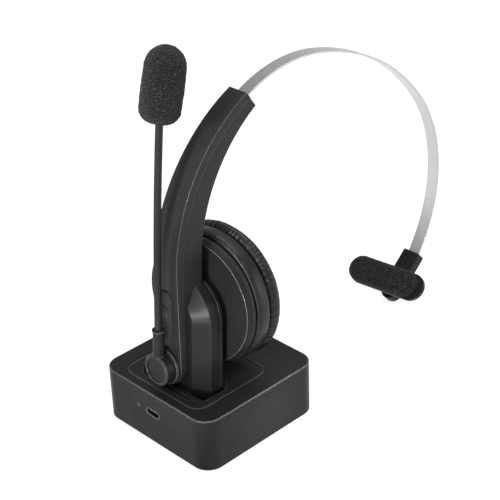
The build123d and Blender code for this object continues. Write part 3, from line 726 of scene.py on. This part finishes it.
def raised_shape(outline, centre_z):
    """Points and faces of a low, flat-topped relief with a sloped edge, standing on a key."""
    points = []
    for sink, shrink in ((0.05 * MM, 1.0), (-0.7 * SYMBOL_HEIGHT, 1.0), (-SYMBOL_HEIGHT, 0.93)):
        points.extend((KEY_FRONT + sink, y * shrink, z * shrink + centre_z) for y, z in outline)
    count = len(outline)
    faces = grid_faces(3, count, False, True)
    faces.append(tuple(reversed(range(count))))
    faces.append(tuple(range(2 * count, 3 * count)))
    return points, faces


def raised_ring(radius, centre_z):
    """Points and faces of a round rib in a ring, half sunk in a key."""
    points = []
    rings, steps = 12, 48
    for ring in range(rings):
        turn = math.tau * ring / rings
        across = radius + SYMBOL_HALF * math.cos(turn)
        height = KEY_FRONT - SYMBOL_HEIGHT * math.sin(turn)
        for step in range(steps):
            around = math.tau * step / steps
            points.append((height, across * math.cos(around), across * math.sin(around) + centre_z))
    return points, grid_faces(rings, steps, True, True)


def key_symbol(node, centre_z, kind):
    """One raised symbol: a plus, a ring or a minus."""
    if kind == "ring":
        parts = [raised_ring(SYMBOL_RING_R, centre_z)]
    else:
        parts = [raised_shape(raised_bar(SYMBOL_REACH, SYMBOL_HALF), centre_z)]
    if kind == "plus":
        parts.append(raised_shape(raised_bar(SYMBOL_HALF, SYMBOL_REACH), centre_z))
    points, faces = [], []
    for part_points, part_faces in parts:
        base = len(points)
        points.extend(part_points)
        faces.extend(tuple(base + index for index in face) for face in part_faces)
    piece = new_object(node.replace("button", "symbol"), points, faces, smooth=False)
    place(piece, HEADSET)
    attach(piece, node)
    return piece


# ------------------------------------------------------------------ stage


def make_camera():
    """The camera looks at CAMERA_AIM from its azimuth, elevation and distance, with a slight roll."""
    a, e = CAMERA_AZIMUTH, CAMERA_ELEVATION
    back = Vector((math.sin(a) * math.cos(e), -math.cos(a) * math.cos(e), math.sin(e)))
    data = bpy.data.cameras.new("camera")
    data.lens = CAMERA_LENS
    data.sensor_width = SENSOR
    camera = bpy.data.objects.new("camera", data)
    bpy.context.scene.collection.objects.link(camera)
    camera.rotation_mode = "QUATERNION"
    camera.location = CAMERA_AIM + back * CAMERA_DISTANCE
    camera.rotation_quaternion = (-back).to_track_quat("-Z", "Y") @ Quaternion((0, 0, 1), CAMERA_ROLL)
    bpy.context.scene.camera = camera


def add_light(name, data, where, aim):
    """Puts a light in its place, turned to its aim."""
    light = bpy.data.objects.new(name, data)
    light.location = where
    light.rotation_mode = "QUATERNION"
    light.rotation_quaternion = (Vector(aim) - Vector(where)).to_track_quat("-Z", "Y")
    bpy.context.scene.collection.objects.link(light)


def soft_light(name, where, aim, size, power):
    """A large panel that lights the whole object."""
    data = bpy.data.lights.new(name, "AREA")
    data.shape = "RECTANGLE"
    data.size, data.size_y = size
    data.energy = power
    add_light(name, data, where, aim)


def spot_light(name, where, aim, radius, cone, power):
    """A narrow soft-edged beam on one part of the object, with its cone in degrees."""
    data = bpy.data.lights.new(name, "SPOT")
    data.shadow_soft_size = radius
    data.spot_size = math.radians(cone)
    data.spot_blend = 1.0
    data.energy = power
    add_light(name, data, where, aim)


def make_world():
    """A pale studio: white where the camera sees it, and dimmer towards its top as a light."""
    world = bpy.data.worlds.new("studio")
    bpy.context.scene.world = world
    world.use_nodes = True
    nodes, links = world.node_tree.nodes, world.node_tree.links
    background = nodes["Background"]
    direction = nodes.new("ShaderNodeTexCoord")
    split = nodes.new("ShaderNodeSeparateXYZ")
    ramp = nodes.new("ShaderNodeValToRGB")
    ramp.color_ramp.interpolation = "EASE"
    low, high = ramp.color_ramp.elements
    low.position, low.color = 0.1, (0.7, 0.7, 0.7, 1)
    high.position, high.color = 0.8, (0.3, 0.3, 0.3, 1)
    eye = nodes.new("ShaderNodeLightPath")
    mix = nodes.new("ShaderNodeMix")
    mix.data_type = "RGBA"
    mix.inputs[7].default_value = (1, 1, 1, 1)
    links.new(direction.outputs["Generated"], split.inputs["Vector"])
    links.new(split.outputs["Z"], ramp.inputs["Fac"])
    links.new(ramp.outputs["Color"], mix.inputs[6])
    links.new(eye.outputs["Is Camera Ray"], mix.inputs["Factor"])
    links.new(mix.outputs[2], background.inputs["Color"])


def make_stage():
    """The pale floor, the studio round it and the lights."""
    corners = [(FLOOR_HALF * x, FLOOR_HALF * y, 0) for x, y in ((-1, -1), (1, -1), (1, 1), (-1, 1))]
    floor = new_object("floor", corners, [(0, 1, 2, 3)], smooth=False)
    look = Look("floor")
    look.shader.inputs["Base Color"].default_value = (0.3, 0.3, 0.3, 1)
    look.shader.inputs["Roughness"].default_value = 0.8
    look.shader.inputs["Specular IOR Level"].default_value = 0.0
    look.shader.inputs["Emission Color"].default_value = (1, 1, 1, 1)
    look.shader.inputs["Emission Strength"].default_value = FLOOR_GLOW
    floor.data.materials.append(look.material)
    make_world()
    soft_light("key", where=(-0.55, -0.25, 0.8), aim=(0.02, 0, 0.08), size=(0.5, 0.5), power=6.0)
    soft_light("right", where=(0.45, -0.6, 0.22), aim=(0.02, 0, 0.04), size=(0.35, 0.35), power=1.2)
    spot_light("pod", where=(-0.6, -0.2, 0.04), aim=(-0.018, -0.015, 0.054), radius=0.03, cone=5, power=48)
    spot_light("arm", where=(-0.6, -0.1, 0.36), aim=(-0.03, -0.01, 0.15), radius=0.06, cone=12, power=34)
    spot_light("wall", where=(0.12, -0.5, 0.12), aim=(0.006, -0.0375, 0.014), radius=0.02, cone=6, power=17)
    soft_light("top", where=(0.3, 0.05, 0.9), aim=(0.03, 0, 0.08), size=(0.6, 0.6), power=4.6)
    bpy.context.scene.view_settings.view_transform = "Standard"


# ------------------------------------------------------------------ assembly

# The third value of each plastic below is its painted highlight colour along the edges.
wear(moulded_plastic("charcoal_plastic", 0.013, painted_edge_highlight=0.25, edge=0.6 * MM, polish=1.0),
     "stand_housing", "stand_base_plate", "pin_block")
wear(moulded_plastic("panel_plastic", 0.014, painted_edge_highlight=0.1, edge=0.5 * MM, polish=0.8), "dock_panel")
wear(moulded_plastic("arm_plastic", 0.014, roughness=0.36, painted_edge_highlight=0.12, polish=0.6, specular=0.2),
     "arm_outer_cover", "arm_inner_shell", "microphone_housing")
wear(moulded_plastic("hub_plastic", 0.011, painted_edge_highlight=0.1, edge=0.5 * MM, polish=0.8),
     "boom_hub", "boom_boss", "collar_ring")
wear(moulded_plastic("cap_plastic", 0.010), "hub_cap")
wear(moulded_plastic("pod_plastic", 0.009, roughness=0.32, painted_edge_highlight=0.03, edge=0.8 * MM),
     "pod_housing", "pod_back_cover")
wear(moulded_plastic("cup_plastic", 0.012, roughness=0.4, painted_edge_highlight=0.2, polish=0.9),
     "cup_shell", "cup_baffle", "speaker_driver")
wear(moulded_plastic("clip_plastic", 0.010, roughness=0.38, painted_edge_highlight=0.03), "temple_clip", "temple_plate")
wear(moulded_plastic("key_plastic", 0.02, roughness=0.45), *SYMBOLS)
wear(moulded_plastic("natural_acetal", 0.5), "band_guide_pads")
wear(moulded_plastic("battery_wrap", 0.2, roughness=0.3), "battery")
wear(moulded_plastic("silicone", 0.014, roughness=0.7), "non_slip_foot")
wear(brushed_metal("satin_steel", 0.55, (1.0, 40.0, 1.0)), "head_band")
wear(brushed_metal("screw_steel", 0.3), "stand_screws", "pod_screws", "cup_screws", "swivel_pin",
     "temple_pivot_pin", "boom_retainer", "band_end_stop")
wear(brushed_metal("plated_steel", 0.6), "ballast_plate", "dome_switches", "microphone_capsule")
wear(brushed_metal("port_steel", 0.16), "usb_c_receptacle")
wear(gold_plate("gold_plate"), "charge_pins", "charge_contacts")
wear(circuit_board("circuit_board"), "port_board", "charge_board", "main_board", "key_board")
wear(frosted_lens("frosted_lens"), "status_light_pipe")
wear(woven_cloth("acoustic_cloth"), "speaker_cloth")
foam = open_cell_foam("open_cell_foam")
wear(foam, "gooseneck", "foam_windscreen", "temple_foam_pad", "ear_cushion")

ear_cushion().data.materials.append(leatherette("protein_leather"))
gooseneck().data.materials.append(braided_sleeve("braided_sleeve"))
windscreen().data.materials.append(foam)
temple_foam().data.materials.append(foam)

symbol_paint = moulded_plastic("symbol_paint", 0.075, roughness=0.5)
for node, (centre_z, kind) in SYMBOLS.items():
    key_symbol(node, centre_z, kind).data.materials.append(symbol_paint)

make_stage()
make_camera()
